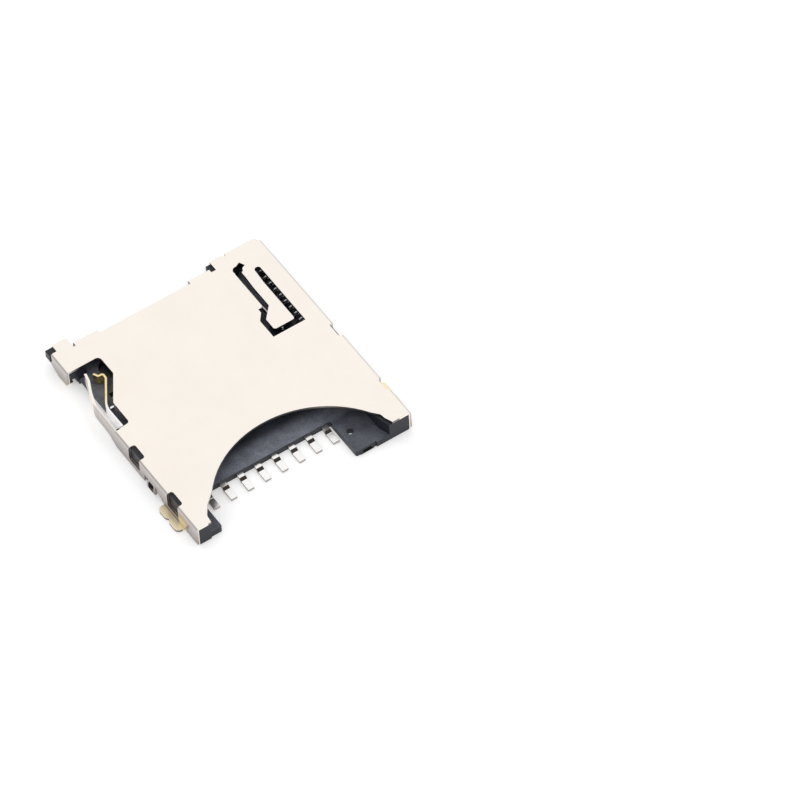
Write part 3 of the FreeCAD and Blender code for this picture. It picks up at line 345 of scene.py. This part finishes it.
# Shell. One sheet of stainless steel 0.15 mm thick, stamped and folded over the housing,
# nickel plated, with gold flashed on the solder tabs and feet. The rolling of the sheet
# leaves faint lines along its length.
STEEL = "#fdf6ed"
STEEL_CLOUD = "#f6eee5"
TAB_GOLD = "#fbecc8"
# Painted shade: the folded walls are painted greyer than the top and darker towards the bottom, for the
# shaded table they reflect.
WALL_SHADE_HIGH = "#c6c0bc"
WALL_SHADE_LOW = "#958e8b"
WALL_FROM = 6.78 * MM
WALL_FULL = 6.87 * MM
CUT_STEEL = "#8f8a87"
GOLD_ROUGH = 0.34
CUT_MIDDLE = 6.6 * MM
CUT_APART = 0.42 * MM
ROLL_ACROSS = 0.06 * MM
ROLL_ALONG = 2.5 * MM
STEEL_PATCH = 2.2 * MM
STEEL_EDGE = 0.02 * MM
GOLD_PATCHES = [
    ((-7.35, -5.2, 0.0), (0.42, 1.3, 0.36), 1.0),
    ((-6.9, -6.15, 0.3), (0.25, 0.4, 0.4), 0.7),
    ((7.35, -5.2, 0.0), (0.42, 1.3, 0.36), 1.0),
    ((7.35, 6.3, 0.0), (0.42, 1.1, 0.36), 1.0),
    ((-6.8, 5.85, 0.0), (0.4, 0.5, 0.22), 0.7),
    ((-4.68, 7.3, 0.0), (0.95, 0.6, 0.5), 1.0),
    ((2.72, 7.3, 0.0), (0.95, 0.6, 0.5), 1.0),
]


def folded_steel(name):
    """Nickel plated steel sheet with rolled lines, painted shade on the folded walls, gold inside each patch
    box.
    """
    material, place = new_material(name)
    cloud = add_node(material, "ShaderNodeTexNoise", {
        "Scale": 1 / STEEL_PATCH, "Detail": 5.0, "Roughness": 0.6}, {"Vector": place})
    tone = add_node(material, "ShaderNodeMix", {
        "data_type": "RGBA", 6: linear(STEEL_CLOUD), 7: linear(STEEL)}, {0: cloud.outputs["Fac"]})
    parts = add_node(material, "ShaderNodeSeparateXYZ", {}, {"Vector": place})
    aside = add_node(material, "ShaderNodeMath", {"operation": "ABSOLUTE"}, {0: parts.outputs["X"]})
    folded = add_node(material, "ShaderNodeMapRange", {
        "interpolation_type": "SMOOTHSTEP", "From Min": WALL_FROM, "From Max": WALL_FULL},
        {"Value": aside.outputs["Value"]})
    # Painted shade on the folded walls, darker towards the bottom.
    down = add_node(material, "ShaderNodeMapRange", {
        "From Min": 0.1 * MM, "From Max": 1.3 * MM}, {"Value": parts.outputs["Z"]})
    wall = add_node(material, "ShaderNodeMix", {
        "data_type": "RGBA", 6: linear(WALL_SHADE_LOW), 7: linear(WALL_SHADE_HIGH)}, {0: down.outputs["Result"]})
    facing = add_node(material, "ShaderNodeNewGeometry")
    tilt = add_node(material, "ShaderNodeSeparateXYZ", {}, {"Vector": facing.outputs["True Normal"]})
    slope = add_node(material, "ShaderNodeMath", {"operation": "ABSOLUTE"}, {0: tilt.outputs["Z"]})
    upright = add_node(material, "ShaderNodeMapRange", {
        "From Min": 0.2, "From Max": 0.3, "To Min": 1.0, "To Max": 0.0}, {"Value": slope.outputs["Value"]})
    across = add_node(material, "ShaderNodeMath", {"operation": "SUBTRACT", 1: CUT_MIDDLE}, {
        0: aside.outputs["Value"]})
    away = add_node(material, "ShaderNodeMath", {"operation": "ABSOLUTE"}, {0: across.outputs["Value"]})
    apart = add_node(material, "ShaderNodeMapRange", {
        "From Min": CUT_APART, "From Max": CUT_APART + 0.02 * MM}, {"Value": away.outputs["Value"]})
    cut = add_node(material, "ShaderNodeMath", {"operation": "MULTIPLY"}, {
        0: upright.outputs["Result"], 1: apart.outputs["Result"]})
    drawn = add_node(material, "ShaderNodeMix", {"data_type": "RGBA"}, {
        0: folded.outputs["Result"], 6: tone.outputs[2], 7: wall.outputs[2]})
    gold = None
    for centre, half, cover in GOLD_PATCHES:
        patch = add_node(material, "ShaderNodeMath", {"operation": "MULTIPLY", 1: cover}, {
            0: inside_box(material, place, centre, half)})
        if gold is None:
            gold = patch.outputs["Value"]
        else:
            gold = add_node(material, "ShaderNodeMath", {"operation": "MAXIMUM"}, {
                0: gold, 1: patch.outputs["Value"]}).outputs["Value"]
    colour = add_node(material, "ShaderNodeMix", {
        "data_type": "RGBA", 7: linear(TAB_GOLD)}, {0: gold, 6: drawn.outputs[2]})
    sheet = add_node(material, "ShaderNodeMix", {
        "data_type": "RGBA", 7: linear(CUT_STEEL)}, {0: cut.outputs["Value"], 6: colour.outputs[2]})
    stretched = add_node(material, "ShaderNodeMapping", {
        "vector_type": "POINT", "Scale": (1 / ROLL_ACROSS, 1 / ROLL_ALONG, 1 / ROLL_ACROSS)},
        {"Vector": place})
    rolled = add_node(material, "ShaderNodeTexNoise", {
        "Scale": 1.0, "Detail": 4.0}, {"Vector": stretched.outputs["Vector"]})
    sheen = add_node(material, "ShaderNodeMapRange", {
        "From Min": 0.25, "From Max": 0.75, "To Min": 0.27, "To Max": 0.31},
        {"Value": rolled.outputs["Fac"]})
    matt = add_node(material, "ShaderNodeMix", {"data_type": "FLOAT", 3: GOLD_ROUGH}, {
        0: gold, 2: sheen.outputs["Result"]})
    edge = add_node(material, "ShaderNodeBevel", {"Radius": STEEL_EDGE})
    bump = add_node(material, "ShaderNodeBump", {
        "Strength": 0.04, "Distance": 0.002 * MM}, {
        "Height": rolled.outputs["Fac"], "Normal": edge.outputs["Normal"]})
    surface = add_node(material, "ShaderNodeBsdfPrincipled", {"Metallic": 1.0}, {
        "Base Color": sheet.outputs[2], "Roughness": matt.outputs[0], "Normal": bump.outputs["Normal"]})
    add_node(material, "ShaderNodeOutputMaterial", {}, {"Surface": surface.outputs["BSDF"]})
    return material


dress("shell", folded_steel("nickel plated steel sheet"))


# Table and light. A plain white table, with a painted shadow where the connector covers it (painted dark, its
# glow taken away), under two soft boxes and a pale room, and the camera far off with a long lens, at the
# photograph's angle.
CAMERA_DISTANCE = 374.25 * MM
CAMERA_ELEVATION = math.radians(51.751)
CAMERA_ROLL = math.radians(-3.824)
OBJECT_TURN = math.radians(30.771)
OBJECT_OFFSET = Vector((-9.284, 1.039, 0.0)) * MM
FRAME_SHIFT = Vector((0.0, -0.04, 0.0)) * MM
FOCAL_PIXELS = 6867.6
PHOTO_PIXELS = 800
SENSOR = 36.0
TABLE = 0.6
TABLE_BELOW = 0.01 * MM
TABLE_LIFT = 0.35
TABLE_WHITE = "#f4f4f4"
TABLE_SHADE = "#3c3c40"
UNDER_FLOOR = ((0.75, 1.3, 0.0), (6.2, 5.9, 1.0))
UNDER_TOE = ((4.05, -7.4, 0.0), (0.45, 0.2, 1.0))
SKY = Vector((0.25, 0.45, 0.857))
SKY_LOW = 0.40
SKY_HIGH = 1.01

table_mesh = bpy.data.meshes.new("table")
table_mesh.from_pydata(
    [(side * TABLE, end * TABLE, -TABLE_BELOW) for side, end in ((-1, -1), (1, -1), (1, 1), (-1, 1))],
    [], [(0, 1, 2, 3)])
table = bpy.data.objects.new("table", table_mesh)
bpy.context.scene.collection.objects.link(table)

table_white, table_place = new_material("white table")
light_path = add_node(table_white, "ShaderNodeLightPath")
seen = add_node(table_white, "ShaderNodeMath", {"operation": "MAXIMUM"}, {
    0: light_path.outputs["Is Camera Ray"], 1: light_path.outputs["Is Glossy Ray"]})
seen_through = add_node(table_white, "ShaderNodeMath", {"operation": "MAXIMUM"}, {
    0: seen.outputs["Value"], 1: light_path.outputs["Is Transmission Ray"]})
# Painted shadow: inside these boxes under the connector the table is painted dark and loses its glow.
beneath = add_node(table_white, "ShaderNodeMath", {"operation": "MAXIMUM"}, {
    0: inside_box(table_white, table_place, *UNDER_FLOOR),
    1: inside_box(table_white, table_place, *UNDER_TOE)})
clear = add_node(table_white, "ShaderNodeMath", {"operation": "SUBTRACT", 0: TABLE_LIFT}, {
    1: beneath.outputs["Value"]})
open_part = add_node(table_white, "ShaderNodeMath", {"operation": "MAXIMUM", 1: 0.0}, {
    0: clear.outputs["Value"]})
lift = add_node(table_white, "ShaderNodeMath", {"operation": "MULTIPLY"}, {
    0: seen_through.outputs["Value"], 1: open_part.outputs["Value"]})
under = add_node(table_white, "ShaderNodeMix", {
    "data_type": "RGBA", 6: linear(TABLE_WHITE), 7: linear(TABLE_SHADE)}, {0: beneath.outputs["Value"]})
paper = add_node(table_white, "ShaderNodeBsdfDiffuse", {}, {"Color": under.outputs[2]})
glow = add_node(table_white, "ShaderNodeEmission", {"Color": (1, 1, 1, 1)}, {
    "Strength": lift.outputs["Value"]})
both = add_node(table_white, "ShaderNodeAddShader", {}, {
    0: paper.outputs["BSDF"], 1: glow.outputs["Emission"]})
clear_side = add_node(table_white, "ShaderNodeNewGeometry").outputs["Backfacing"]
glass = add_node(table_white, "ShaderNodeBsdfTransparent")
one_sided = add_node(table_white, "ShaderNodeMixShader", {}, {
    0: clear_side, 1: both.outputs["Shader"], 2: glass.outputs["BSDF"]})
add_node(table_white, "ShaderNodeOutputMaterial", {}, {"Surface": one_sided.outputs["Shader"]})
table_mesh.materials.append(table_white)

world = bpy.data.worlds.new("pale room")
world.use_nodes = True
world.node_tree.nodes.clear()
direction = add_node(world, "ShaderNodeTexCoord").outputs["Generated"]
toward = add_node(world, "ShaderNodeVectorMath", {"operation": "DOT_PRODUCT", 1: SKY}, {0: direction})
room = add_node(world, "ShaderNodeMapRange", {
    "interpolation_type": "SMOOTHSTEP", "From Min": 0.1, "From Max": 0.85,
    "To Min": SKY_LOW, "To Max": SKY_HIGH},
    {"Value": toward.outputs["Value"]})
world_path = add_node(world, "ShaderNodeLightPath")
world_strength = add_node(world, "ShaderNodeMix", {"data_type": "FLOAT", 3: 1.0}, {
    0: world_path.outputs["Is Camera Ray"], 2: room.outputs["Result"]})
background = add_node(world, "ShaderNodeBackground", {"Color": (1, 1, 1, 1)}, {
    "Strength": world_strength.outputs[0]})
add_node(world, "ShaderNodeOutputWorld", {}, {"Surface": background.outputs["Background"]})
bpy.context.scene.world = world


def soft_box(name, place, width, height_, power):
    """Square area lamp that faces the connector."""
    lamp = bpy.data.lights.new(name, "AREA")
    lamp.shape = "RECTANGLE"
    lamp.size = width
    lamp.size_y = height_
    lamp.energy = power
    holder = bpy.data.objects.new(name, lamp)
    holder.location = place
    holder.rotation_mode = "QUATERNION"
    holder.rotation_quaternion = Vector(place).to_track_quat("Z", "Y")
    bpy.context.scene.collection.objects.link(holder)
    return holder


soft_box("left box", (-0.45, -0.05, 0.20), 0.35, 0.35, 0.27)
soft_box("front box", (0.10, -0.40, 0.30), 0.25, 0.25, 0.15)

sin_e = math.sin(CAMERA_ELEVATION)
cos_e = math.cos(CAMERA_ELEVATION)
turn_back = Matrix.Rotation(-OBJECT_TURN, 3, "Z")
back = Vector((0, -cos_e, sin_e))
level_right = Vector((1, 0, 0))
level_up = Vector((0, sin_e, cos_e))
right = level_right * math.cos(CAMERA_ROLL) + level_up * math.sin(CAMERA_ROLL)
up = level_up * math.cos(CAMERA_ROLL) - level_right * math.sin(CAMERA_ROLL)
camera_data = bpy.data.cameras.new("camera")
camera_data.sensor_width = SENSOR
camera_data.lens = FOCAL_PIXELS / PHOTO_PIXELS * SENSOR
camera_data.clip_start = 0.01
camera_data.clip_end = 10.0
camera = bpy.data.objects.new("camera", camera_data)
turned = Matrix([turn_back @ right, turn_back @ up, turn_back @ back]).transposed()
camera.matrix_world = Matrix.Translation(
    turn_back @ (back * CAMERA_DISTANCE - OBJECT_OFFSET) + FRAME_SHIFT) @ turned.to_4x4()
bpy.context.scene.collection.objects.link(camera)
bpy.context.scene.camera = camera
bpy.context.scene.view_settings.view_transform = "Standard"
